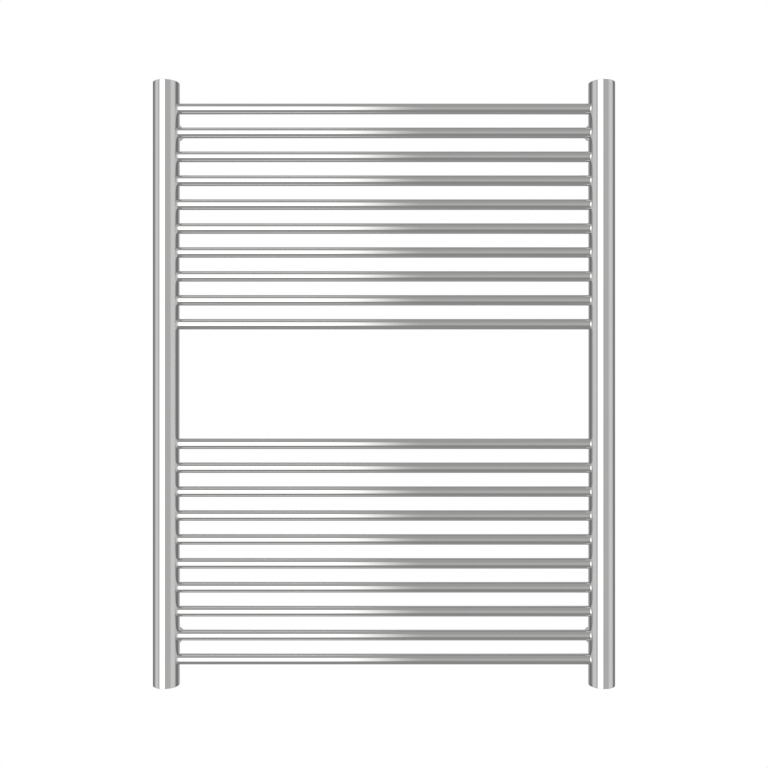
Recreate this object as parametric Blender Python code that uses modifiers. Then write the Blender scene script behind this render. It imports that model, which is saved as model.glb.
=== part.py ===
"""Wall-hung ladder towel warmer, heated by hot water from a heating system.

Two upright collector tubes are joined by twenty thinner bars in two groups, with a gap between
the groups for a folded towel. Each collector is closed by a threaded end piece at each end: the
bottom ones are the open water ports, and the top ones hold a blanking plug and an air vent. Four
telescopic brackets hold the rack off the wall: a post with a saddle end is screwed to a blind boss
in the back of the collector, and slides in a cup on the wall, where a set screw clamps it.

Metres, +Z up, the front faces -Y. The origin is on the wall plane, at the centre of the brackets.
"""

import math

import bmesh
import bpy
from mathutils import Matrix, Vector

# Overall sizes
WIDTH = 0.614
BAR_PITCH = 0.03176
END_OVERHANG = 0.03476  # from the axis of the outermost bar to the end of the collector

# Collectors and bars
COLLECTOR_DIAMETER = 0.035
COLLECTOR_WALL = 0.0015
RIM_CHAMFER = 0.0006
BAR_DIAMETER = 0.014
BAR_WALL = 0.0012
BARS_PER_GROUP = 10
MISSING_BARS = 4  # bars left out between the two groups
BAR_FORWARD = 0.0015  # the bars' axes lie this far in front of the collectors' axes
BAR_ENTRY = 0.001  # a bar's end reaches this far past the collector's wall

# Threaded end pieces, plugs and seals
END_PIECE_LENGTH = 0.016
PORT_DIAMETER = 0.0186
SEAT_DIAMETER = 0.0244
PLUG_HEAD_THICKNESS = 0.0024
PLUG_SHANK_LENGTH = 0.008
SEAL_THICKNESS = 0.0018
PLUG_HEX = 0.010  # across flats
PLUG_HEX_DEPTH = 0.006
VENT_SCREW_DIAMETER = 0.005
VENT_SCREW_LENGTH = 0.0065
VENT_SEAT_DIAMETER = 0.0022
VENT_OUTLET_DIAMETER = 0.0018
VENT_OUTLET_OFFSET = 0.0066
VENT_SLOT_WIDTH = 0.0022
VENT_SLOT_LENGTH = 0.0034
VENT_SLOT_DEPTH = 0.0010
DRIVER_SLOT_WIDTH = 0.0011
DRIVER_SLOT_DEPTH = 0.0013

# Telescopic brackets
BOSS_DIAMETER = 0.013
BOSS_LENGTH = 0.009
POST_DIAMETER = 0.016
POST_BORE_DIAMETER = 0.0116
POST_WEB = 0.010  # from the crown of the collector to the seat of the clamp screw
CLAMP_SCREW_DIAMETER = 0.006
CLAMP_SCREW_REACH = 0.007  # how far it enters the boss
CLAMP_HEAD_DIAMETER = 0.010
CLAMP_HEAD_HEIGHT = 0.006
CLAMP_HEX = 0.005
CLAMP_HEX_DEPTH = 0.003
CUP_DIAMETER = 0.0225
CUP_LENGTH = 0.028
NECK_LENGTH = 0.0145  # bare post between the cup's mouth and the collector
CUP_FLOOR = 0.004
CUP_CHAMFER = 0.0010
WALL_SCREW_HOLE = 0.0052
WALL_SCREW_SINK = 0.0024  # depth of the countersink for the wall screw's head
WALL_SCREW_HEAD_ROOM = 0.004
DEPTH_TRAVEL = 0.006  # the rack slides this far each way while its set screws are loose
SET_SCREW_DIAMETER = 0.005
SET_SCREW_LENGTH = 0.0028
SET_SCREW_INSET = 0.004  # from the cup's mouth
SET_SCREW_HEX = 0.0025
SET_SCREW_HEX_DEPTH = 0.0014

CLEARANCE = 0.0003  # between pieces that touch or fit in each other
OVERCUT = 0.002  # how far a cutter runs past what it cuts
WELD = 0.00001

# Sides of the round pieces
COLLECTOR_SIDES = 32
BAR_SIDES = 16
FITTING_SIDES = 24
SCREW_SIDES = 12
HEX_SIDES = 6

# Sizes that follow from the ones above
COLLECTOR_RADIUS = COLLECTOR_DIAMETER / 2
COLLECTOR_BORE = COLLECTOR_RADIUS - COLLECTOR_WALL
COLLECTOR_X = WIDTH / 2 - COLLECTOR_RADIUS
COLLECTOR_Y = -(CUP_LENGTH + NECK_LENGTH + COLLECTOR_RADIUS)
BAR_RADIUS = BAR_DIAMETER / 2
BAR_Y = COLLECTOR_Y - BAR_FORWARD
BAR_STEPS = 2 * BARS_PER_GROUP + MISSING_BARS - 1
HEIGHT = BAR_STEPS * BAR_PITCH + 2 * END_OVERHANG
BRACKET_Z = (BAR_STEPS / 2 - 0.5) * BAR_PITCH  # midway between the outer two bars
SEAT_DEPTH = SEAL_THICKNESS + PLUG_HEAD_THICKNESS + 2 * CLEARANCE
POST_END = -(CUP_FLOOR + WALL_SCREW_HEAD_ROOM + DEPTH_TRAVEL)
POST_SEAT = COLLECTOR_Y + COLLECTOR_RADIUS + POST_WEB
BOSS_FACE = COLLECTOR_Y + math.sqrt(COLLECTOR_RADIUS**2 - (BOSS_DIAMETER / 2) ** 2)
SIDES = {"left": -1, "right": 1}
ENDS = {"top": 1, "bottom": -1}

TOWARDS_WALL = Matrix.Rotation(-math.pi / 2, 4, "X")  # turns +Z to +Y
ALONG_BAR = Matrix.Rotation(math.pi / 2, 4, "Y")  # turns +Z to +X
UPSIDE_DOWN = Matrix.Rotation(math.pi, 4, "X")
UPRIGHT = Matrix.Identity(4)


def new_collection(name):
    made = bpy.data.collections.new(name)
    bpy.context.scene.collection.children.link(made)
    return made


def new_material(name, colour, metallic, roughness):
    made = bpy.data.materials.new(name)
    made.use_nodes = True
    shader = made.node_tree.nodes["Principled BSDF"]
    shader.inputs["Base Color"].default_value = (*colour, 1)
    shader.inputs["Metallic"].default_value = metallic
    shader.inputs["Roughness"].default_value = roughness
    return made


def clear_scene():
    for obj in list(bpy.data.objects):
        bpy.data.objects.remove(obj)


clear_scene()
PARTS = new_collection("towel_warmer")
CUTTERS = new_collection("cutters")
CHROME = new_material("chrome", (0.80, 0.80, 0.80), 1.0, 0.06)
STEEL = new_material("zinc_steel", (0.55, 0.55, 0.56), 1.0, 0.35)
RUBBER = new_material("rubber", (0.02, 0.02, 0.02), 0.0, 0.6)


def new_empty(name, parent=None):
    made = bpy.data.objects.new(name, None)
    PARTS.objects.link(made)
    made.parent = parent
    return made


def place(obj, location, turn):
    obj.rotation_euler = turn.to_euler()
    obj.location = location


def new_part(name, mesh, material, parent, location, turn=UPRIGHT):
    made = bpy.data.objects.new(name, mesh)
    PARTS.objects.link(made)
    mesh.materials.append(material)
    made.parent = parent
    place(made, location, turn)
    return made


def profile_mesh(name, points, is_ring):
    """A line of (radius, height) points to turn about Z; a ring's line runs back to its start."""
    mesh = bmesh.new()
    corners = [mesh.verts.new((radius, 0, height)) for radius, height in points]
    for start, end in zip(corners, corners[1:]):
        mesh.edges.new((start, end))
    if is_ring:
        mesh.edges.new((corners[-1], corners[0]))
    data = bpy.data.meshes.new(name)
    mesh.to_mesh(data)
    mesh.free()
    return data


def turned_part(name, points, sides, material, parent, location, turn=UPRIGHT):
    """A turned piece. Its profile runs down the outer side; it is a ring unless it starts on the axis."""
    is_ring = points[0][0] > 0
    made = new_part(name, profile_mesh(name, points, is_ring), material, parent, location, turn)
    screw = made.modifiers.new("Turn", "SCREW")
    screw.steps = screw.render_steps = sides
    screw.use_merge_vertices = True
    screw.merge_threshold = WELD
    screw.use_smooth_shade = True
    return made


def new_cutter(name, rods):
    """One cutter made of rods, each (start, end, radius, sides), in world space."""
    mesh = bmesh.new()
    for start, end, radius, sides in rods:
        way = Vector(end) - Vector(start)
        middle = (Vector(end) + Vector(start)) / 2
        bmesh.ops.create_cone(
            mesh,
            cap_ends=True,
            segments=sides,
            radius1=radius,
            radius2=radius,
            depth=way.length,
            matrix=Matrix.Translation(middle) @ way.to_track_quat("Z", "Y").to_matrix().to_4x4(),
        )
    data = bpy.data.meshes.new(name)
    mesh.to_mesh(data)
    mesh.free()
    return hidden_cutter(name, data)


def new_slot_cutter(name, slots):
    """One cutter made of boxes, each (centre, size), in world space."""
    mesh = bmesh.new()
    for centre, size in slots:
        bmesh.ops.create_cube(mesh, matrix=Matrix.Translation(centre) @ Matrix.Diagonal((*size, 1)))
    data = bpy.data.meshes.new(name)
    mesh.to_mesh(data)
    mesh.free()
    return hidden_cutter(name, data)


def hidden_cutter(name, data):
    made = bpy.data.objects.new(name, data)
    CUTTERS.objects.link(made)
    made.hide_render = True
    made.display_type = "WIRE"
    return made


def cut(obj, cutter):
    boolean = obj.modifiers.new(cutter.name, "BOOLEAN")
    boolean.operation = "DIFFERENCE"
    boolean.object = cutter


def hex_radius(across_flats):
    return across_flats / 2 / math.cos(math.pi / HEX_SIDES)


def bar_heights():
    """Heights of the bars' axes, from the top one down."""
    steps = [MISSING_BARS / 2 + 0.5 + n for n in range(BARS_PER_GROUP)]
    return sorted((end * step * BAR_PITCH for step in steps for end in (1, -1)), reverse=True)


def make_bars(radiator):
    """Open tubes whose ends pass through the collectors' walls."""
    front_edge = BAR_FORWARD + BAR_RADIUS
    end_x = COLLECTOR_X - math.sqrt(COLLECTOR_BORE**2 - front_edge**2) + BAR_ENTRY
    bore = BAR_RADIUS - BAR_WALL
    section = [(BAR_RADIUS, end_x), (BAR_RADIUS, -end_x), (bore, -end_x), (bore, end_x)]
    for number, height in enumerate(bar_heights(), start=1):
        name = f"bar_{number:02d}"
        turned_part(name, section, BAR_SIDES, CHROME, radiator, (0, BAR_Y, height), ALONG_BAR)


def make_collector(side, sign, radiator):
    """A tube with a hole for each bar in its inner side, and one for each boss in its back."""
    half = HEIGHT / 2
    section = [
        (COLLECTOR_RADIUS - RIM_CHAMFER, half),
        (COLLECTOR_RADIUS, half - RIM_CHAMFER),
        (COLLECTOR_RADIUS, -half + RIM_CHAMFER),
        (COLLECTOR_RADIUS - RIM_CHAMFER, -half),
        (COLLECTOR_BORE, -half),
        (COLLECTOR_BORE, half),
    ]
    x = sign * COLLECTOR_X
    centre = (x, COLLECTOR_Y, 0)
    name = f"collector_{side}"
    tube = turned_part(name, section, COLLECTOR_SIDES, CHROME, radiator, centre)
    outside = COLLECTOR_RADIUS + OVERCUT
    bar_holes = [
        ((x, BAR_Y, height), (x - sign * outside, BAR_Y, height), BAR_RADIUS + CLEARANCE, BAR_SIDES)
        for height in bar_heights()
    ]
    cut(tube, new_cutter(f"bar_holes_{side}", bar_holes))
    hole_radius = BOSS_DIAMETER / 2 + CLEARANCE
    boss_holes = [
        ((x, COLLECTOR_Y, z), (x, COLLECTOR_Y + outside, z), hole_radius, FITTING_SIDES)
        for z in (BRACKET_Z, -BRACKET_Z)
    ]
    cut(tube, new_cutter(f"boss_holes_{side}", boss_holes))


def make_end_piece(side, sign, end, direction, radiator):
    """A ring in the collector's end, with the threaded port and a seat for a seal and a plug's head."""
    outside = COLLECTOR_BORE - CLEARANCE
    seat = SEAT_DIAMETER / 2
    port = PORT_DIAMETER / 2
    section = [
        (outside, 0),
        (outside, -END_PIECE_LENGTH),
        (port, -END_PIECE_LENGTH),
        (port, -SEAT_DEPTH),
        (seat, -SEAT_DEPTH),
        (seat, 0),
    ]
    turn = UPRIGHT if direction > 0 else UPSIDE_DOWN
    centre = (sign * COLLECTOR_X, COLLECTOR_Y, direction * HEIGHT / 2)
    turned_part(f"end_piece_{end}_{side}", section, FITTING_SIDES, CHROME, radiator, centre, turn)


def plug_outline():
    """The outer side of a plug, from the rim of its head to the end of its shank."""
    head = SEAT_DIAMETER / 2 - CLEARANCE
    shank = PORT_DIAMETER / 2 - CLEARANCE
    chamfer = CLEARANCE
    bottom = -PLUG_HEAD_THICKNESS - PLUG_SHANK_LENGTH
    return [
        (head - chamfer, 0),
        (head, -chamfer),
        (head, -PLUG_HEAD_THICKNESS),
        (shank, -PLUG_HEAD_THICKNESS),
        (shank, bottom),
    ]


def make_seal(side, sign, radiator):
    """An O-ring, squeezed between the plug's head and the floor of its seat."""
    inside = PORT_DIAMETER / 2
    outside = SEAT_DIAMETER / 2 - CLEARANCE
    round_off = SEAL_THICKNESS / 4
    section = [
        (outside - round_off, 0),
        (outside, -round_off),
        (outside, round_off - SEAL_THICKNESS),
        (outside - round_off, -SEAL_THICKNESS),
        (inside + round_off, -SEAL_THICKNESS),
        (inside, round_off - SEAL_THICKNESS),
        (inside, -round_off),
        (inside + round_off, 0),
    ]
    centre = (sign * COLLECTOR_X, COLLECTOR_Y, HEIGHT / 2 - PLUG_HEAD_THICKNESS - CLEARANCE)
    turned_part(f"seal_{side}", section, FITTING_SIDES, RUBBER, radiator, centre)


def make_blanking_plug(sign, radiator):
    """A plug with a hexagon socket, flush with the collector's end."""
    x, top = sign * COLLECTOR_X, HEIGHT / 2
    outline = [(0, 0), *plug_outline(), (0, plug_outline()[-1][1])]
    centre = (x, COLLECTOR_Y, top)
    plug = turned_part("blanking_plug", outline, FITTING_SIDES, CHROME, radiator, centre)
    socket_end = (x, COLLECTOR_Y, top - PLUG_HEX_DEPTH)
    socket = (socket_end, (x, COLLECTOR_Y, top + OVERCUT), hex_radius(PLUG_HEX), HEX_SIDES)
    cut(plug, new_cutter("blanking_plug_socket", [socket]))


def make_air_vent(sign, radiator):
    """A plug with a bored centre for the vent screw, spanner slots, and a slanting air outlet."""
    x, top = sign * COLLECTOR_X, HEIGHT / 2
    outline = plug_outline()
    bottom = outline[-1][1]
    screw_bore = VENT_SCREW_DIAMETER / 2 + CLEARANCE
    bore_end = -VENT_SCREW_LENGTH - CLEARANCE
    seat = VENT_SEAT_DIAMETER / 2
    section = [*outline, (seat, bottom), (seat, bore_end), (screw_bore, bore_end), (screw_bore, 0)]
    centre = (x, COLLECTOR_Y, top)
    vent = turned_part("air_vent_body", section, FITTING_SIDES, CHROME, radiator, centre)
    outlet = (
        (x, COLLECTOR_Y, top + bore_end * 0.75),
        (x, COLLECTOR_Y - VENT_OUTLET_OFFSET, top + OVERCUT),
        VENT_OUTLET_DIAMETER / 2,
        SCREW_SIDES,
    )
    cut(vent, new_cutter("air_vent_outlet", [outlet]))
    rim = SEAT_DIAMETER / 2
    slot_size = (VENT_SLOT_LENGTH + OVERCUT, VENT_SLOT_WIDTH, 2 * VENT_SLOT_DEPTH)
    slot_x = rim - VENT_SLOT_LENGTH + slot_size[0] / 2
    slots = [((x + way * slot_x, COLLECTOR_Y, top), slot_size) for way in (1, -1)]
    cut(vent, new_slot_cutter("air_vent_spanner_slots", slots))


def make_vent_screw(sign, parent):
    """A small screw with a driver slot and a cone that closes the vent's seat."""
    x, top = sign * COLLECTOR_X, HEIGHT / 2
    radius = VENT_SCREW_DIAMETER / 2
    tip = -VENT_SCREW_LENGTH
    outline = [
        (0, 0),
        (radius - CLEARANCE, 0),
        (radius, -CLEARANCE),
        (radius, tip + radius),
        (VENT_SEAT_DIAMETER / 2, tip),
        (0, tip),
    ]
    centre = (x, COLLECTOR_Y, top)
    screw = turned_part("vent_screw", outline, SCREW_SIDES, CHROME, parent, centre)
    slot_size = (VENT_SCREW_DIAMETER + OVERCUT, DRIVER_SLOT_WIDTH, 2 * DRIVER_SLOT_DEPTH)
    cut(screw, new_slot_cutter("vent_screw_slot", [(centre, slot_size)]))


def make_boss(place_name, x, z, radiator):
    """A blind threaded bush, brazed into the collector's back."""
    outside = BOSS_DIAMETER / 2
    bore = CLAMP_SCREW_DIAMETER / 2 + CLEARANCE
    floor = CLAMP_SCREW_REACH + 2 * CLEARANCE
    outline = [
        (0, -floor),
        (bore, -floor),
        (bore, 0),
        (outside, 0),
        (outside, -BOSS_LENGTH),
        (0, -BOSS_LENGTH),
    ]
    name, centre = f"boss_{place_name}", (x, BOSS_FACE, z)
    turned_part(name, outline, FITTING_SIDES, STEEL, radiator, centre, TOWARDS_WALL)


def make_post(place_name, x, z, radiator):
    """A sleeve whose front end is a saddle on the collector, with a web that takes the clamp screw."""
    outside = POST_DIAMETER / 2
    bore = POST_BORE_DIAMETER / 2
    hole = CLAMP_SCREW_DIAMETER / 2 + CLEARANCE
    seat = POST_SEAT - POST_END
    front = COLLECTOR_Y - POST_END
    section = [
        (outside - CLEARANCE, 0),
        (outside, -CLEARANCE),
        (outside, front),
        (hole, front),
        (hole, seat),
        (bore, seat),
        (bore, 0),
    ]
    name, centre = f"post_{place_name}", (x, POST_END, z)
    post = turned_part(name, section, FITTING_SIDES, CHROME, radiator, centre, TOWARDS_WALL)
    reach = POST_DIAMETER / 2 + OVERCUT
    saddle = (
        (x, COLLECTOR_Y, z - reach),
        (x, COLLECTOR_Y, z + reach),
        COLLECTOR_RADIUS + CLEARANCE,
        COLLECTOR_SIDES,
    )
    cut(post, new_cutter(f"saddle_{place_name}", [saddle]))


def make_clamp_screw(place_name, x, z, radiator):
    """A socket-head screw from inside the post into the boss."""
    head, shank = CLAMP_HEAD_DIAMETER / 2, CLAMP_SCREW_DIAMETER / 2
    face = POST_SEAT + CLEARANCE
    tip = BOSS_FACE - CLAMP_SCREW_REACH - face
    outline = [
        (0, CLAMP_HEAD_HEIGHT),
        (head - CLEARANCE, CLAMP_HEAD_HEIGHT),
        (head, CLAMP_HEAD_HEIGHT - CLEARANCE),
        (head, 0),
        (shank, 0),
        (shank, tip),
        (0, tip),
    ]
    name, centre = f"clamp_screw_{place_name}", (x, face, z)
    screw = turned_part(name, outline, SCREW_SIDES, STEEL, radiator, centre, TOWARDS_WALL)
    top = face + CLAMP_HEAD_HEIGHT
    socket = (
        (x, top - CLAMP_HEX_DEPTH, z),
        (x, top + OVERCUT, z),
        hex_radius(CLAMP_HEX),
        HEX_SIDES,
    )
    cut(screw, new_cutter(f"clamp_socket_{place_name}", [socket]))


def make_cup(place_name, x, z, wall_side):
    """A cup on the wall, with a countersunk screw hole in its floor and a tapped hole underneath."""
    outside = CUP_DIAMETER / 2
    bore = POST_DIAMETER / 2 + CLEARANCE
    hole = WALL_SCREW_HOLE / 2
    sink = hole + WALL_SCREW_SINK
    section = [
        (outside, 0),
        (outside, CUP_CHAMFER - CUP_LENGTH),
        (outside - CUP_CHAMFER, -CUP_LENGTH),
        (bore + CLEARANCE, -CUP_LENGTH),
        (bore, CLEARANCE - CUP_LENGTH),
        (bore, -CUP_FLOOR),
        (sink, -CUP_FLOOR),
        (hole, WALL_SCREW_SINK - CUP_FLOOR),
        (hole, 0),
    ]
    name, centre = f"wall_cup_{place_name}", (x, 0, z)
    cup = turned_part(name, section, FITTING_SIDES, CHROME, wall_side, centre, TOWARDS_WALL)
    y = SET_SCREW_INSET - CUP_LENGTH
    tapped = (
        (x, y, z - POST_DIAMETER / 4),
        (x, y, z - outside - OVERCUT),
        SET_SCREW_DIAMETER / 2 + CLEARANCE,
        SCREW_SIDES,
    )
    cut(cup, new_cutter(f"tapped_hole_{place_name}", [tapped]))


def make_set_screw(place_name, x, z, parent):
    """A hexagon-socket screw, under the cup, that clamps the post."""
    radius = SET_SCREW_DIAMETER / 2
    point = radius / 2
    tip = z - POST_DIAMETER / 2 - CLEARANCE
    outline = [
        (0, 0),
        (point, 0),
        (radius, point - radius),
        (radius, -SET_SCREW_LENGTH),
        (0, -SET_SCREW_LENGTH),
    ]
    y = SET_SCREW_INSET - CUP_LENGTH
    name = f"set_screw_{place_name}"
    screw = turned_part(name, outline, SCREW_SIDES, STEEL, parent, (x, y, tip))
    end = tip - SET_SCREW_LENGTH
    socket = (
        (x, y, end + SET_SCREW_HEX_DEPTH),
        (x, y, end - OVERCUT),
        hex_radius(SET_SCREW_HEX),
        HEX_SIDES,
    )
    cut(screw, new_cutter(f"set_screw_socket_{place_name}", [socket]))


def make_towel_warmer():
    whole = new_empty("towel_warmer")
    wall_side = new_empty("wall_side", whole)
    radiator = new_empty("radiator", whole)
    make_bars(radiator)
    for side, sign in SIDES.items():
        make_collector(side, sign, radiator)
        make_seal(side, sign, radiator)
        for end, direction in ENDS.items():
            make_end_piece(side, sign, end, direction, radiator)
            place_name = f"{end}_{side}"
            x, z = sign * COLLECTOR_X, direction * BRACKET_Z
            make_boss(place_name, x, z, radiator)
            make_post(place_name, x, z, radiator)
            make_clamp_screw(place_name, x, z, radiator)
            make_cup(place_name, x, z, wall_side)
            make_set_screw(place_name, x, z, wall_side)
    make_blanking_plug(SIDES["left"], radiator)
    make_air_vent(SIDES["right"], radiator)
    make_vent_screw(SIDES["right"], radiator)


make_towel_warmer()
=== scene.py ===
"""Looks for the ladder towel warmer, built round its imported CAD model."""

import math

import bmesh
import bpy
import numpy as np
from mathutils import Matrix, Vector


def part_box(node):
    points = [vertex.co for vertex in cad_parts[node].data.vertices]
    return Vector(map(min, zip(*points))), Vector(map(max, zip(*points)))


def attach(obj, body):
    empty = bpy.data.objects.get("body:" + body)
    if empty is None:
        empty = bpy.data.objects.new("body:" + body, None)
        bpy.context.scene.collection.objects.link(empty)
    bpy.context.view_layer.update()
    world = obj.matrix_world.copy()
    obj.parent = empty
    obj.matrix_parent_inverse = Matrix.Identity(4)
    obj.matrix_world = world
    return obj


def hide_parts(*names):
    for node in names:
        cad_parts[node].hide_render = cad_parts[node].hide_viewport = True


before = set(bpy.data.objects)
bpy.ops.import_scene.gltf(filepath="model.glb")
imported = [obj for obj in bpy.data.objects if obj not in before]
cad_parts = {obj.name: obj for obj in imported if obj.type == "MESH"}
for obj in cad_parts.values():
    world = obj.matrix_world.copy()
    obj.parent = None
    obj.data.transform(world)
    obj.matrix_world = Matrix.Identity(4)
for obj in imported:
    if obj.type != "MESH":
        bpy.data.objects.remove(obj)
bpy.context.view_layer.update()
MM = 0.001
SIDES = {"left": -1, "right": 1}  # along X
ENDS = {"top": 1, "bottom": -1}  # along Z

# ---- Sizes read from the CAD frame --------------------------------------------------------------


def span(node, axis):
    low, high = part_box(node)
    return low[axis], high[axis]


def middle(node):
    low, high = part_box(node)
    return (low + high) / 2


COLLECTOR_LOW, COLLECTOR_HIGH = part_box("collector_right")
COLLECTOR_X = (COLLECTOR_LOW.x + COLLECTOR_HIGH.x) / 2  # of the right one; the left one mirrors it
COLLECTOR_Y = (COLLECTOR_LOW.y + COLLECTOR_HIGH.y) / 2
COLLECTOR_RADIUS = (COLLECTOR_HIGH.x - COLLECTOR_LOW.x) / 2
COLLECTOR_WALL = 1.5 * MM
TOP = COLLECTOR_HIGH.z
BOTTOM = COLLECTOR_LOW.z
BAR_NODES = sorted(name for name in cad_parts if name.startswith("bar_"))
BAR_RADIUS = (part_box("bar_01")[1].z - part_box("bar_01")[0].z) / 2
BAR_Y = middle("bar_01").y
BAR_WALL = 1.2 * MM
END_PIECE_LENGTH = span("end_piece_top_left", 2)[1] - span("end_piece_top_left", 2)[0]
PLACES = [f"{end}_{side}" for end in ENDS for side in SIDES]

# ---- Materials ----------------------------------------------------------------------------------


class Nodes:
    """Short calls for the nodes of one material or world."""

    def __init__(self, tree):
        self.tree = tree
        tree.nodes.clear()

    def add(self, kind, **settings):
        node = self.tree.nodes.new(kind)
        for name, value in settings.items():
            setattr(node, name, value)
        return node

    def put(self, value, socket):
        if isinstance(value, bpy.types.NodeSocket):
            self.tree.links.new(value, socket)
        else:
            socket.default_value = value

    def math(self, operation, *values):
        node = self.add("ShaderNodeMath", operation=operation)
        for value, socket in zip(values, node.inputs):
            self.put(value, socket)
        return node.outputs[0]

    def vector(self, operation, *values):
        node = self.add("ShaderNodeVectorMath", operation=operation)
        for value, socket in zip(values, node.inputs):
            self.put(value, socket)
        return node.outputs[0]

    def steps(self, value, low, high, to_low=0.0, to_high=1.0):
        """Runs smoothly from to_low at low to to_high at high."""
        node = self.add("ShaderNodeMapRange", interpolation_type="SMOOTHSTEP")
        for given, socket in zip((value, low, high, to_low, to_high), node.inputs):
            self.put(given, socket)
        return node.outputs[0]

    def noise(self, vector, scale, detail=2.0, roughness=0.5):
        node = self.add("ShaderNodeTexNoise")
        self.put(vector, node.inputs["Vector"])
        node.inputs["Scale"].default_value = scale
        node.inputs["Detail"].default_value = detail
        node.inputs["Roughness"].default_value = roughness
        return node.outputs["Fac"]

    def mix(self, factor, low, high):
        node = self.add("ShaderNodeMix", data_type="FLOAT")
        for name, value in (("Factor", factor), ("A", low), ("B", high)):
            self.put(value, node.inputs[name])
        return node.outputs["Result"]

    def tint(self, factor, dark, light):
        """A colour that runs from dark at factor 0 to light at factor 1."""
        node = self.add("ShaderNodeMix", data_type="RGBA")
        self.put(factor, node.inputs["Factor"])
        node.inputs["A"].default_value = (*dark, 1)
        node.inputs["B"].default_value = (*light, 1)
        return node.outputs["Result"]


def new_material(name):
    """A material with its node calls and its shader."""
    made = bpy.data.materials.new(name)
    made.use_nodes = True
    nodes = Nodes(made.node_tree)
    shader = nodes.add("ShaderNodeBsdfPrincipled")
    output = nodes.add("ShaderNodeOutputMaterial")
    made.node_tree.links.new(shader.outputs[0], output.inputs[0])
    return made, nodes, shader


def object_place(nodes):
    return nodes.add("ShaderNodeTexCoord").outputs["Object"]


def add_bump(nodes, shader, height, strength, distance):
    bump = nodes.add("ShaderNodeBump")
    bump.inputs["Strength"].default_value = strength
    bump.inputs["Distance"].default_value = distance
    nodes.put(height, bump.inputs["Height"])
    nodes.put(bump.outputs[0], shader.inputs["Normal"])


CHROME_LIGHT = (0.815, 0.812, 0.806)
CHROME_DARK = (0.775, 0.772, 0.768)


def chrome_material(name, grain):
    """Polished chrome with a faint polishing grain; grain scales its noise along the piece's axes."""
    made, nodes, shader = new_material(name)
    place = object_place(nodes)
    scratches = nodes.noise(nodes.vector("MULTIPLY", place, grain), 900, 3, 0.6)
    clouds = nodes.noise(place, 14, 3, 0.55)
    shader.inputs["Metallic"].default_value = 1.0
    nodes.put(nodes.tint(clouds, CHROME_DARK, CHROME_LIGHT), shader.inputs["Base Color"])
    marks = nodes.steps(scratches, 0.55, 0.8, 0.0, 0.03)
    haze = nodes.steps(clouds, 0.3, 0.75, 0.03, 0.045)
    nodes.put(nodes.math("ADD", marks, haze), shader.inputs["Roughness"])
    add_bump(nodes, shader, scratches, 0.04, 0.02 * MM)
    return made


def zinc_material():
    """Zinc-plated steel: a blotchy satin grey."""
    made, nodes, shader = new_material("zinc_plate")
    place = object_place(nodes)
    blotches = nodes.noise(place, 700, 4, 0.65)
    shader.inputs["Metallic"].default_value = 1.0
    nodes.put(nodes.tint(blotches, (0.42, 0.42, 0.42), (0.62, 0.62, 0.61)), shader.inputs["Base Color"])
    nodes.put(nodes.steps(blotches, 0.25, 0.75, 0.24, 0.42), shader.inputs["Roughness"])
    add_bump(nodes, shader, blotches, 0.2, 0.03 * MM)
    return made


def rubber_material():
    """Black rubber with a fine dull grain."""
    made, nodes, shader = new_material("seal_rubber")
    grains = nodes.noise(object_place(nodes), 2500, 3, 0.6)
    black = nodes.tint(grains, (0.012, 0.012, 0.012), (0.03, 0.03, 0.03))
    nodes.put(black, shader.inputs["Base Color"])
    nodes.put(nodes.steps(grains, 0.3, 0.7, 0.5, 0.68), shader.inputs["Roughness"])
    add_bump(nodes, shader, grains, 0.25, 0.03 * MM)
    return made


COLLECTOR_CHROME = chrome_material("collector_chrome", (1, 1, 0.03))
BAR_CHROME = chrome_material("bar_chrome", (0.03, 1, 1))
FITTING_CHROME = chrome_material("fitting_chrome", (1, 1, 1))
ZINC = zinc_material()
RUBBER = rubber_material()

# ---- Turned and carved shapes -------------------------------------------------------------------

# Turned pieces are made round Z; these turn them to their places.
UPRIGHT = Matrix.Identity(4)
UPSIDE_DOWN = Matrix.Rotation(math.pi, 4, "X")
ALONG_BAR = Matrix.Rotation(math.pi / 2, 4, "Y")
TOWARDS_WALL = Matrix.Rotation(-math.pi / 2, 4, "X")
ARC_STEPS = 6  # faces across a rounded edge
SAME = 1e-9  # metres: shorter than this is nothing


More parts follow.
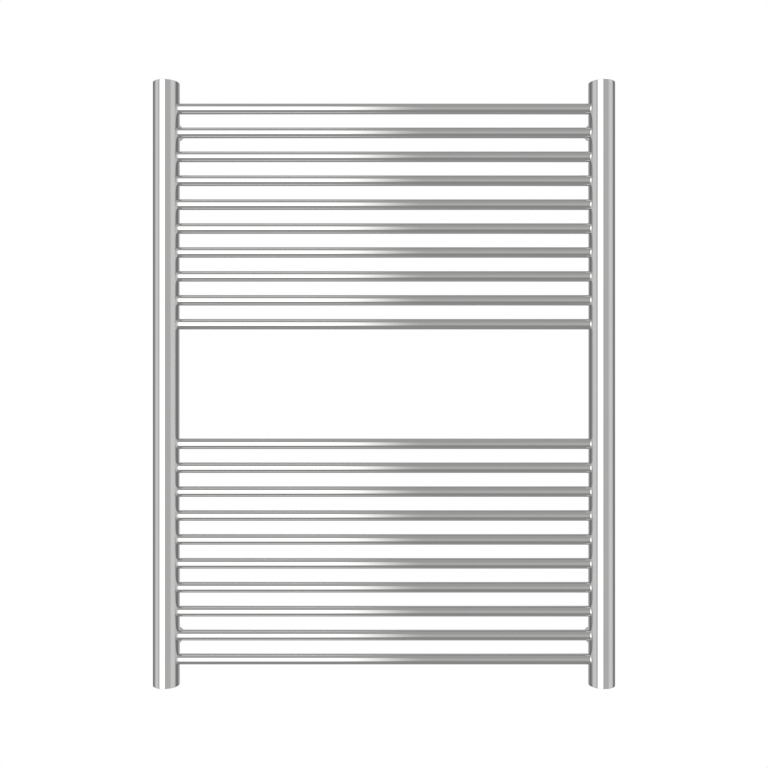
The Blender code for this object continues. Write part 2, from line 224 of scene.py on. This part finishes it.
def rounded(corners, is_ring):
    """Rounds a profile. Corners are (radius, height, rounding), down the outer side first.

    Returns the segments as (start, end, normal at start, normal at end).
    """
    points = [np.array(corner[:2], dtype=float) for corner in corners]
    count = len(points)
    pieces, entries, exits, arcs = [], [], [], []
    for i in range(count):
        here = points[i]
        rounding = corners[i][2] if len(corners[i]) > 2 else 0
        is_end = not is_ring and i in (0, count - 1)
        if rounding == 0 or is_end:
            entries.append(here)
            exits.append(here)
            arcs.append(None)
            continue
        way_in = here - points[i - 1]
        way_out = points[(i + 1) % count] - here
        way_in /= np.linalg.norm(way_in)
        way_out /= np.linalg.norm(way_out)
        turn = math.atan2(way_in[0] * way_out[1] - way_in[1] * way_out[0], way_in @ way_out)
        reach = rounding * math.tan(abs(turn) / 2)
        start = here - way_in * reach
        normal = np.array([-way_in[1], way_in[0]])
        bulge = -1 if turn < 0 else 1
        centre = start + bulge * rounding * normal
        entries.append(start)
        exits.append(here + way_out * reach)
        arcs.append((centre, normal, turn, rounding, bulge))
    for i in range(count):
        arc = arcs[i]
        if arc:
            centre, normal, turn, rounding, bulge = arc
            spots, normals = [], []
            for step in range(ARC_STEPS + 1):
                angle = turn * step / ARC_STEPS
                c, s = math.cos(angle), math.sin(angle)
                swung = np.array([c * normal[0] - s * normal[1], s * normal[0] + c * normal[1]])
                normals.append(swung)
                spots.append(centre - bulge * rounding * swung)
            for step in range(ARC_STEPS):
                pieces.append((spots[step], spots[step + 1], normals[step], normals[step + 1]))
        if i < count - 1 or is_ring:
            start, end = exits[i], entries[(i + 1) % count]
            way = end - start
            if np.linalg.norm(way) > SAME:
                way /= np.linalg.norm(way)
                flat = np.array([-way[1], way[0]])
                pieces.append((start, end, flat, flat))
    return pieces


def turned_mesh(name, corners, sides):
    """A closed surface of revolution about Z with exact normals."""
    is_ring = corners[0][0] > 0
    segments = rounded(corners, is_ring)
    vertices, faces, normals = [], [], []
    keys = {}

    def vertex(spot, step):
        key = (round(spot[0], 8), round(spot[1], 8), 0 if spot[0] < SAME else step % sides)
        if key not in keys:
            angle = 2 * math.pi * step / sides
            keys[key] = len(vertices)
            vertices.append((spot[0] * math.cos(angle), spot[0] * math.sin(angle), spot[1]))
        return keys[key]

    def swung(normal, step):
        angle = 2 * math.pi * step / sides
        return (normal[0] * math.cos(angle), normal[0] * math.sin(angle), normal[1])

    for start, end, normal_start, normal_end in segments:
        for step in range(sides):
            corners_round = [
                (start, normal_start, step),
                (end, normal_end, step),
                (end, normal_end, step + 1),
                (start, normal_start, step + 1),
            ]
            face, tilt = [], []
            for spot, normal, at in corners_round:
                number = vertex(spot, at)
                if number not in face:
                    face.append(number)
                    tilt.append(swung(normal, at))
            if len(face) > 2:
                faces.append(face)
                normals.extend(tilt)
    mesh = bpy.data.meshes.new(name)
    mesh.from_pydata(vertices, [], faces)
    mesh.polygons.foreach_set("use_smooth", [True] * len(faces))
    mesh.update()
    mesh.normals_split_custom_set(normals)
    return mesh


def new_piece(name, mesh, material, body, nodes, location=(0, 0, 0), turn=UPRIGHT):
    """Links a mesh as a piece that rides on a body and stands for the CAD nodes."""
    piece = bpy.data.objects.new(name, mesh)
    bpy.context.scene.collection.objects.link(piece)
    mesh.materials.clear()
    mesh.materials.append(material)
    piece.matrix_world = Matrix.Translation(location) @ turn
    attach(piece, body)
    if nodes:
        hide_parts(*nodes)
    return piece


def join_meshes(name, meshes):
    """One mesh from several, with their normals."""
    vertices, faces, normals = [], [], []
    for mesh in meshes:
        offset = len(vertices)
        vertices.extend(tuple(v.co) for v in mesh.vertices)
        faces.extend([offset + v for v in polygon.vertices] for polygon in mesh.polygons)
        normals.extend(tuple(corner.vector) for corner in mesh.corner_normals)
    made = bpy.data.meshes.new(name)
    made.from_pydata(vertices, [], faces)
    made.polygons.foreach_set("use_smooth", [True] * len(faces))
    made.update()
    made.normals_split_custom_set(normals)
    return made


def prism_cutter(sides, radius, start, end):
    """A rod from start to end, for cutting."""
    mesh = bmesh.new()
    way = Vector(end) - Vector(start)
    matrix = Matrix.Translation((Vector(start) + Vector(end)) / 2)
    matrix @= way.to_track_quat("Z", "Y").to_matrix().to_4x4()
    round_all = {"radius1": radius, "radius2": radius, "segments": sides, "cap_ends": True}
    bmesh.ops.create_cone(mesh, depth=way.length, matrix=matrix, **round_all)
    return scratch_object(mesh)


def box_cutter(centre, size):
    mesh = bmesh.new()
    bmesh.ops.create_cube(mesh, matrix=Matrix.Translation(centre) @ Matrix.Diagonal((*size, 1)))
    return scratch_object(mesh)


def scratch_object(mesh):
    data = bpy.data.meshes.new("scratch")
    mesh.to_mesh(data)
    mesh.free()
    made = bpy.data.objects.new("scratch", data)
    bpy.context.scene.collection.objects.link(made)
    return made


def carved(mesh, cutters):
    """The mesh with the cutters taken out of it, its corners kept crisp."""
    host = bpy.data.objects.new("host", mesh)
    bpy.context.scene.collection.objects.link(host)
    for cutter in cutters:
        boolean = host.modifiers.new("Cut", "BOOLEAN")
        boolean.operation = "DIFFERENCE"
        boolean.object = cutter
    bpy.context.view_layer.update()
    shown = host.evaluated_get(bpy.context.evaluated_depsgraph_get())
    cut = bpy.data.meshes.new_from_object(shown)
    for scratch in (host, *cutters):
        bpy.data.objects.remove(scratch)
    return cut


CRISP_ANGLE = math.radians(25)


def round_normals(mesh, radius_inside):
    """Sets a carved mesh's normals.

    Walls round Z beyond radius_inside get round normals, other upright or level faces flat ones,
    and the rest is smooth up to the crisp angle.
    """
    mesh.attributes.remove(mesh.attributes["custom_normal"])
    mesh.set_sharp_from_angle(angle=CRISP_ANGLE)
    found = [Vector(corner.vector) for corner in mesh.corner_normals]
    for polygon in mesh.polygons:
        out = Vector((polygon.center.x, polygon.center.y, 0))
        is_upright = abs(polygon.normal.z) < 0.02
        is_level = abs(polygon.normal.z) >= 0.999
        faces_out = polygon.normal.dot(out.normalized()) > 0.99
        is_round = is_upright and out.length > radius_inside and faces_out
        if not is_upright and not is_level:
            continue
        for loop in polygon.loop_indices:
            spot = mesh.vertices[mesh.loops[loop].vertex_index].co
            round_out = Vector((spot.x, spot.y, 0)).normalized()
            found[loop] = round_out if is_round else polygon.normal.copy()
    mesh.normals_split_custom_set([tuple(normal) for normal in found])
    return mesh


# ---- Collectors, bars and their brazed joints ----------------------------------------------------

TUBE_SIDES = 128
BAR_SIDES = 72
FILLET_FRONT = 3.3 * MM  # radius of the brazed fillet at the front and back of a bar
FILLET_SIDE = 0.5 * MM  # and above and below it
FILLET_STEPS = 12  # faces from the bar to the collector
FILLET_SINK = 0.003 * MM  # how far its edges lie under both surfaces


def make_collectors():
    half = (TOP - BOTTOM) / 2
    inside = COLLECTOR_RADIUS - COLLECTOR_WALL
    rim, inner_rim = 0.6 * MM, 0.2 * MM
    corners = [
        (COLLECTOR_RADIUS, half, rim),
        (COLLECTOR_RADIUS, -half, rim),
        (inside, -half, inner_rim),
        (inside, half, inner_rim),
    ]
    for side, sign in SIDES.items():
        node = f"collector_{side}"
        mesh = turned_mesh(node, corners, TUBE_SIDES)
        place = (sign * COLLECTOR_X, COLLECTOR_Y, (TOP + BOTTOM) / 2)
        new_piece(f"tube_{side}", mesh, COLLECTOR_CHROME, "radiator", [node], place)


def make_bars():
    low, high = span("bar_01", 0)
    corners = [
        (BAR_RADIUS, high),
        (BAR_RADIUS, low),
        (BAR_RADIUS - BAR_WALL, low),
        (BAR_RADIUS - BAR_WALL, high),
    ]
    for node in BAR_NODES:
        mesh = turned_mesh(node, corners, BAR_SIDES)
        place = (0, BAR_Y, middle(node).z)
        name = node.replace("bar", "rail")
        new_piece(name, mesh, BAR_CHROME, "radiator", [node], place, ALONG_BAR)


def fillet_mesh(sign):
    """The brazed fillet round one bar where it meets a collector, with the bar's axis at z = 0.

    At each point of the seam it rolls a circle between the bar's normal and the collector's.
    """
    rows, leans = [], []
    for step in range(BAR_SIDES):
        angle = 2 * math.pi * step / BAR_SIDES
        bar_normal = Vector((0, math.cos(angle), math.sin(angle)))
        y = BAR_Y - COLLECTOR_Y + BAR_RADIUS * bar_normal.y
        z = BAR_RADIUS * bar_normal.z
        x = -sign * math.sqrt(COLLECTOR_RADIUS**2 - y**2)
        tube_normal = Vector((x, y, 0)).normalized()
        radius = FILLET_SIDE + (FILLET_FRONT - FILLET_SIDE) * abs(bar_normal.y) ** 3
        between = (bar_normal + tube_normal) / (1 + bar_normal.dot(tube_normal))
        centre = Vector((x, y, z)) + between * radius
        row, lean = [], []
        for part in range(FILLET_STEPS + 1):
            normal = bar_normal.slerp(tube_normal, part / FILLET_STEPS)
            row.append(centre - normal * (radius + FILLET_SINK))
            lean.append(normal)
        rows.append(row)
        leans.append(lean)
    vertices = [spot + Vector((sign * COLLECTOR_X, COLLECTOR_Y, 0)) for row in rows for spot in row]
    width = FILLET_STEPS + 1
    faces, normals = [], []
    for step in range(BAR_SIDES):
        after = (step + 1) % BAR_SIDES
        for part in range(FILLET_STEPS):
            face = [(step, part), (after, part), (after, part + 1), (step, part + 1)]
            if sign < 0:
                face.reverse()
            faces.append([ring * width + spot for ring, spot in face])
            normals.extend(tuple(leans[ring][spot]) for ring, spot in face)
    mesh = bpy.data.meshes.new("fillet")
    mesh.from_pydata([tuple(v) for v in vertices], [], faces)
    mesh.update()
    mesh.normals_split_custom_set(normals)
    return mesh


def make_fillets():
    for side, sign in SIDES.items():
        rings = []
        for node in BAR_NODES:
            ring = fillet_mesh(sign)
            ring.transform(Matrix.Translation((0, 0, middle(node).z)))
            rings.append(ring)
        mesh = join_meshes(f"fillets_{side}", rings)
        new_piece(f"brazed_joints_{side}", mesh, FITTING_CHROME, "radiator", [])


# ---- Threaded end pieces, plug and air vent -------------------------------------------------------

PORT_RADIUS = 9.3 * MM
SEAT_RADIUS = 12.2 * MM  # the wider mouth of a port, for the O-ring and the plug's head
SEAT_DEPTH = 4.8 * MM
END_GAP = 0.03 * MM  # between an end piece and its collector
END_ROUNDING = 0.25 * MM
THREAD_PITCH = 1.814 * MM
THREAD_DEPTH = 1.1 * MM
THREAD_FADE = 0.6  # share of a pitch over which the thread starts and ends
THREAD_ROWS = 8  # rows of faces in one pitch
FITTING_SIDES = 96
FINE_EDGE = 0.15 * MM
PLUG_GAP = 0.3 * MM  # all round the plug's and the vent's heads and shanks
HEAD_THICKNESS = 2.4 * MM
HEAD_ROUNDING = 0.35 * MM
SHANK_ROUNDING = 0.3 * MM
PLUG_SOCKET = 10 * MM  # across flats
PLUG_SOCKET_DEPTH = 6 * MM
VENT_BORE = 2.8 * MM  # radius of the well that holds the bleed screw
VENT_BORE_DEPTH = 6.8 * MM
VENT_PASSAGE = 1.1 * MM
VENT_OUTLET = 0.9 * MM
VENT_OUTLET_REACH = 6.6 * MM  # how far out in front of the screw it comes up
SPANNER_SLOT = (5.4 * MM, 2.2 * MM, 2 * MM)
SPANNER_SLOT_X = 11.5 * MM
VENT_SCREW_RADIUS = 2.5 * MM
VENT_SCREW_SHANK = 4 * MM  # down to its cone
VENT_SCREW_LENGTH = 6.5 * MM
VENT_SCREW_SIDES = 64
VENT_SCREW_SLOT = (7 * MM, 1.1 * MM, 2.6 * MM)
CUT_PAST = 2 * MM  # how far a cutter runs past the surface that it opens
HOLE_SIDES = 32


def thread_mesh(top, bottom, sides):
    """A threaded bore about Z, from top down to bottom, with its grooves cut outwards."""
    rows = round((top - bottom) / THREAD_PITCH * THREAD_ROWS)
    vertices, faces = [], []
    for row in range(rows + 1):
        depth_down = (top - bottom) * row / rows
        edge = min(depth_down, top - bottom - depth_down)
        fade = min(1.0, edge / (THREAD_FADE * THREAD_PITCH))
        for step in range(sides):
            turn = (depth_down / THREAD_PITCH + step / sides) % 1
            wave = 1 - abs(2 * turn - 1)
            groove = min(1, max(0, wave * 1.5 - 0.25))  # flanks with flat crests and roots
            radius = PORT_RADIUS + THREAD_DEPTH * groove * fade
            angle = 2 * math.pi * step / sides
            vertices.append((radius * math.cos(angle), radius * math.sin(angle), top - depth_down))
    for row in range(rows):
        for step in range(sides):
            upper, lower = row * sides, (row + 1) * sides
            after = (step + 1) % sides
            faces.append([upper + step, upper + after, lower + after, lower + step])
    mesh = bpy.data.meshes.new("thread")
    mesh.from_pydata(vertices, [], faces)
    mesh.polygons.foreach_set("use_smooth", [True] * len(faces))
    mesh.update()
    return mesh


def is_bore(mesh, polygon):
    radii = [Vector(mesh.vertices[v].co[:2]).length for v in polygon.vertices]
    return max(radii) < PORT_RADIUS + 0.01 * MM


def with_thread(ring):
    """An end piece with its plain bore changed for a threaded one."""
    keep_faces = [p for p in ring.polygons if not is_bore(ring, p)]
    normals = ring.corner_normals
    vertices = [tuple(v.co) for v in ring.vertices]
    faces = [list(p.vertices) for p in keep_faces]
    leans = [tuple(normals[loop].vector) for p in keep_faces for loop in p.loop_indices]
    plain = bpy.data.meshes.new("plain")
    plain.from_pydata(vertices, [], faces)
    plain.update()
    plain.normals_split_custom_set(leans)
    thread = thread_mesh(-SEAT_DEPTH, -END_PIECE_LENGTH, FITTING_SIDES)
    return join_meshes("threaded", [plain, thread])


def make_end_pieces():
    outside = COLLECTOR_RADIUS - COLLECTOR_WALL - END_GAP
    places = {"top": (TOP, UPRIGHT), "bottom": (BOTTOM, UPSIDE_DOWN)}
    for side, sign in SIDES.items():
        for end in ENDS:
            node = f"end_piece_{end}_{side}"
            corners = [
                (outside, 0, END_ROUNDING),
                (outside, -END_PIECE_LENGTH, END_ROUNDING),
                (PORT_RADIUS, -END_PIECE_LENGTH),
                (PORT_RADIUS, -SEAT_DEPTH),
                (SEAT_RADIUS, -SEAT_DEPTH, FINE_EDGE),
                (SEAT_RADIUS, 0, END_ROUNDING),
            ]
            mesh = turned_mesh(node, corners, FITTING_SIDES)
            if end == "bottom":
                mesh = with_thread(mesh)
            height, turn = places[end]
            place = (sign * COLLECTOR_X, COLLECTOR_Y, height)
            name = f"port_{end}_{side}"
            new_piece(name, mesh, FITTING_CHROME, "radiator", [node], place, turn)


def plug_corners():
    """The outside of the plug and of the vent, from the head's top edge to the shank's end."""
    head, shank = SEAT_RADIUS - PLUG_GAP, PORT_RADIUS - PLUG_GAP
    low, high = span("blanking_plug", 2)
    return [
        (head, 0, HEAD_ROUNDING),
        (head, -HEAD_THICKNESS, FINE_EDGE),
        (shank, -HEAD_THICKNESS),
        (shank, low - high, SHANK_ROUNDING),
    ]


def hex_radius(across_flats):
    return across_flats / 2 / math.cos(math.pi / 6)


def make_plug():
    node = "blanking_plug"
    x, y, _ = middle(node)
    corners = plug_corners()
    bottom = corners[-1][1]
    mesh = turned_mesh(node, [(0, 0), *corners, (0, bottom)], FITTING_SIDES)
    across = hex_radius(PLUG_SOCKET)
    socket = prism_cutter(6, across, (0, 0, -PLUG_SOCKET_DEPTH), (0, 0, CUT_PAST))
    mesh = round_normals(carved(mesh, [socket]), 6 * MM)
    new_piece("plug_top", mesh, FITTING_CHROME, "radiator", [node], (x, y, TOP))


def make_vent():
    node = "air_vent_body"
    x, y, _ = middle(node)
    corners = plug_corners()
    bottom = corners[-1][1]
    ring = [
        *corners,
        (VENT_PASSAGE, bottom),
        (VENT_PASSAGE, -VENT_BORE_DEPTH),
        (VENT_BORE, -VENT_BORE_DEPTH),
        (VENT_BORE, 0, 0.2 * MM),
    ]
    mesh = turned_mesh(node, ring, FITTING_SIDES)
    inner = (0, 0, -VENT_BORE_DEPTH * 0.75)
    outlet = prism_cutter(HOLE_SIDES, VENT_OUTLET, inner, (0, -VENT_OUTLET_REACH, CUT_PAST))
    slots = [box_cutter((way * SPANNER_SLOT_X, 0, 0), SPANNER_SLOT) for way in (1, -1)]
    mesh = round_normals(carved(mesh, [outlet, *slots]), 6 * MM)
    new_piece("vent_top", mesh, FITTING_CHROME, "radiator", [node], (x, y, TOP))


def make_vent_screw():
    node = "vent_screw"
    x, y, _ = middle(node)
    corners = [
        (0, 0),
        (VENT_SCREW_RADIUS, 0, 0.3 * MM),
        (VENT_SCREW_RADIUS, -VENT_SCREW_SHANK),
        (VENT_PASSAGE, -VENT_SCREW_LENGTH),
        (0, -VENT_SCREW_LENGTH),
    ]
    mesh = turned_mesh(node, corners, VENT_SCREW_SIDES)
    slot = box_cutter((0, 0, 0), VENT_SCREW_SLOT)
    mesh = round_normals(carved(mesh, [slot]), 1.5 * MM)
    new_piece("bleed_screw", mesh, FITTING_CHROME, "vent_screw", [node], (x, y, TOP))


def make_seals():
    inside, outside = PORT_RADIUS, SEAT_RADIUS - PLUG_GAP
    for side in SIDES:
        node = f"seal_{side}"
        low, high = span(node, 2)
        top = high - low
        soft = top * 0.42
        ring = [(outside, top), (outside, 0), (inside, 0), (inside, top)]
        corners = [(*corner, soft) for corner in ring]
        mesh = turned_mesh(node, corners, FITTING_SIDES)
        place = middle(node)
        new_piece(f"o_ring_{side}", mesh, RUBBER, "radiator", [node], (place.x, place.y, low))


# ---- Brackets ------------------------------------------------------------------------------------

POST_RADIUS = 8 * MM
POST_BORE = 5.8 * MM
POST_HOLE = 3.3 * MM  # for the clamp screw's shank
POST_SEAT = 10 * MM  # from the collector's back to the clamp screw's head
CUP_RADIUS = 11.25 * MM
CUP_BORE = 8.3 * MM
CUP_LENGTH = 28 * MM
CUP_FLOOR = 4 * MM
SCREW_HOLE = 2.6 * MM  # the wall screw's, in the cup's floor
SCREW_SINK = 2.4 * MM  # its countersink
SET_SCREW_RADIUS = 2.5 * MM
SET_SCREW_HOLE = 2.6 * MM
SET_SCREW_Y = -24 * MM
SET_SCREW_POINT = 1.25 * MM
SET_SCREW_SIDES = 48
SET_SCREW_SOCKET = 2.5 * MM  # across flats
SET_SCREW_SOCKET_DEPTH = 1.4 * MM


def saddled(mesh, front):
    """Moves the front rim of a post, made along Z, onto the collector's round back."""
    normals = [tuple(corner.vector) for corner in mesh.corner_normals]
    for vertex in mesh.vertices:
        if vertex.co.z < front + 2 * MM:
            crown = COLLECTOR_RADIUS - math.sqrt(COLLECTOR_RADIUS**2 - vertex.co.x**2)
            vertex.co.z -= crown
    mesh.update()
    mesh.normals_split_custom_set(normals)
    return mesh


def make_post(place_name):
    node = f"post_{place_name}"
    low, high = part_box(node)
    x, z = (low.x + high.x) / 2, (low.z + high.z) / 2
    front = COLLECTOR_Y + COLLECTOR_RADIUS - high.y
    seat = front + POST_SEAT
    corners = [
        (POST_RADIUS, 0, 0.5 * MM),
        (POST_RADIUS, front),
        (POST_HOLE, front),
        (POST_HOLE, seat),
        (POST_BORE, seat),
        (POST_BORE, 0, 0.3 * MM),
    ]
    mesh = saddled(turned_mesh(node, corners, FITTING_SIDES), front)
    name = f"standoff_{place_name}"
    place = (x, high.y, z)
    new_piece(name, mesh, FITTING_CHROME, "radiator", [node], place, TOWARDS_WALL)


def make_cup(place_name):
    node = f"wall_cup_{place_name}"
    centre = middle(node)
    corners = [
        (CUP_RADIUS, 0, 0.3 * MM),
        (CUP_RADIUS, -CUP_LENGTH, 1.0 * MM),
        (CUP_BORE, -CUP_LENGTH, 0.4 * MM),
        (CUP_BORE, -CUP_FLOOR, 0.5 * MM),
        (SCREW_HOLE + SCREW_SINK, -CUP_FLOOR),
        (SCREW_HOLE, SCREW_SINK - CUP_FLOOR),
        (SCREW_HOLE, 0),
    ]
    mesh = turned_mesh(node, corners, FITTING_SIDES)
    # The cup's own +Y points down once it is turned towards the wall.
    inner, outer = (0, CUP_BORE / 2, SET_SCREW_Y), (0, CUP_RADIUS + CUT_PAST, SET_SCREW_Y)
    hole = prism_cutter(HOLE_SIDES, SET_SCREW_HOLE, inner, outer)
    mesh = round_normals(carved(mesh, [hole]), 10 * MM)
    name = f"cup_{place_name}"
    place = (centre.x, 0, centre.z)
    new_piece(name, mesh, FITTING_CHROME, "wall_side", [node], place, TOWARDS_WALL)


def make_set_screw(place_name):
    node = f"set_screw_{place_name}"
    low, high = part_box(node)
    x, y = (low.x + high.x) / 2, (low.y + high.y) / 2
    length = high.z - low.z
    corners = [
        (0, 0),
        (SET_SCREW_RADIUS - SET_SCREW_POINT, 0, 0.1 * MM),
        (SET_SCREW_RADIUS, -SET_SCREW_POINT, 0.1 * MM),
        (SET_SCREW_RADIUS, -length, 0.25 * MM),
        (0, -length),
    ]
    mesh = turned_mesh(node, corners, SET_SCREW_SIDES)
    inner, outer = (0, 0, SET_SCREW_SOCKET_DEPTH - length), (0, 0, -length - CUT_PAST)
    socket = prism_cutter(6, hex_radius(SET_SCREW_SOCKET), inner, outer)
    mesh = round_normals(carved(mesh, [socket]), 2 * MM)
    new_piece(f"grub_screw_{place_name}", mesh, ZINC, node, [node], (x, y, high.z))


def dress_cad_node(node, material):
    """Gives a CAD node that stays as it is its finer material."""
    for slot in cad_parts[node].material_slots:
        slot.material = material


def make_brackets():
    for place_name in PLACES:
        make_post(place_name)
        make_cup(place_name)
        make_set_screw(place_name)
        dress_cad_node(f"boss_{place_name}", ZINC)
        dress_cad_node(f"clamp_screw_{place_name}", ZINC)


# ---- Studio --------------------------------------------------------------------------------------

CAMERA_DISTANCE = 1.188  # from the collectors' axes
LENS = 41.86
FLOOR_Z = -1.10
FLOOR_RADIUS = 1.5
FLOOR_FADE = (0.6, 1.2)

ROOM_LIGHT = 0.5
CEILING_LIGHT = 0.4
CEILING_START = (15, 35)  # degrees above level, from the room to the ceiling
FLOOR_LIGHT = 0.3
FLOOR_START = (-20, -35)
# Soft panels: degrees round from the front to the middle (left is negative), half the width,
# degrees above level to the middle, half the height, how far the edges fade, and the light.
PANELS = {
    "window": (-23, 22, 0, 35, 4, 1.7),
    "left_wall": (-75, 15, 0, 30, 8, 0.7),
    "right_wall": (70, 20, 0, 30, 8, 0.7),
    "left_dark": (-125, 20, 0, 60, 10, 0.2),
    "right_dark": (120, 20, 0, 60, 10, 0.2),
    "back_light": (180, 10, 0, 10, 4, 1.2),
}


def panel_share(nodes, turn, rise, panel):
    """How much of a panel shows in a direction, from 0 to 1."""
    turn_middle, half_width, rise_middle, half_height, fade, _ = panel
    aside = nodes.math("WRAP", nodes.math("SUBTRACT", turn, turn_middle), 180.0, -180.0)
    above = nodes.math("SUBTRACT", rise, rise_middle)
    shares = []
    for offset, half in ((aside, half_width), (above, half_height)):
        distance = nodes.math("ABSOLUTE", offset)
        shares.append(nodes.steps(distance, half - fade, half + fade, 1, 0))
    return nodes.math("MULTIPLY", *shares)


def make_world():
    """The plain soft studio that the chrome mirrors: a grey room with a few soft panels."""
    world = bpy.data.worlds.new("studio")
    bpy.context.scene.world = world
    world.use_nodes = True
    nodes = Nodes(world.node_tree)
    way = nodes.add("ShaderNodeSeparateXYZ")
    nodes.put(nodes.add("ShaderNodeTexCoord").outputs["Generated"], way.inputs[0])
    x, y, z = way.outputs
    front = nodes.math("MULTIPLY", y, -1.0)
    turn = nodes.math("MULTIPLY", nodes.math("ARCTAN2", x, front), 180 / math.pi)
    rise = nodes.math("MULTIPLY", nodes.math("ARCSINE", z), 180 / math.pi)
    room = nodes.steps(rise, *FLOOR_START, ROOM_LIGHT, FLOOR_LIGHT)
    room = nodes.mix(nodes.steps(rise, *CEILING_START), room, CEILING_LIGHT)
    for panel in PANELS.values():
        room = nodes.mix(panel_share(nodes, turn, rise, panel), room, panel[-1])
    background = nodes.add("ShaderNodeBackground")
    background.inputs["Color"].default_value = (1, 1, 1, 1)
    seen_directly = nodes.add("ShaderNodeLightPath").outputs["Is Camera Ray"]
    nodes.put(nodes.mix(seen_directly, room, 1.0), background.inputs["Strength"])
    output = nodes.add("ShaderNodeOutputWorld")
    world.node_tree.links.new(background.outputs[0], output.inputs[0])


def make_floor():
    """A pale round floor, well below the rack, that fades out at its edge."""
    mesh = bmesh.new()
    bmesh.ops.create_circle(mesh, cap_ends=True, segments=96, radius=FLOOR_RADIUS)
    data = bpy.data.meshes.new("floor")
    mesh.to_mesh(data)
    mesh.free()
    floor = bpy.data.objects.new("floor", data)
    bpy.context.scene.collection.objects.link(floor)
    floor.location = (0, 0, FLOOR_Z)
    floor.visible_glossy = False
    made, nodes, shader = new_material("floor")
    shader.inputs["Base Color"].default_value = (0.8, 0.8, 0.79, 1)
    shader.inputs["Roughness"].default_value = 0.9
    shader.inputs["Emission Color"].default_value = (1, 1, 1, 1)
    shader.inputs["Emission Strength"].default_value = 0.35
    reach = nodes.add("ShaderNodeVectorMath", operation="LENGTH")
    nodes.put(object_place(nodes), reach.inputs[0])
    fade = nodes.steps(reach.outputs["Value"], *FLOOR_FADE, 1.0, 0.0)
    nodes.put(fade, shader.inputs["Alpha"])
    data.materials.append(made)


def make_camera():
    """Straight in front, level with the rack's middle."""
    data = bpy.data.cameras.new("camera")
    camera = bpy.data.objects.new("camera", data)
    bpy.context.scene.collection.objects.link(camera)
    data.sensor_width = 36
    data.lens = LENS
    camera.location = (0, COLLECTOR_Y - CAMERA_DISTANCE, (TOP + BOTTOM) / 2)
    camera.rotation_euler = (math.pi / 2, 0, 0)
    bpy.context.scene.camera = camera


bpy.context.scene.view_settings.view_transform = "Standard"
make_camera()
make_world()
make_floor()
make_collectors()
make_bars()
make_fillets()
make_end_pieces()
make_plug()
make_vent()
make_vent_screw()
make_seals()
make_brackets()
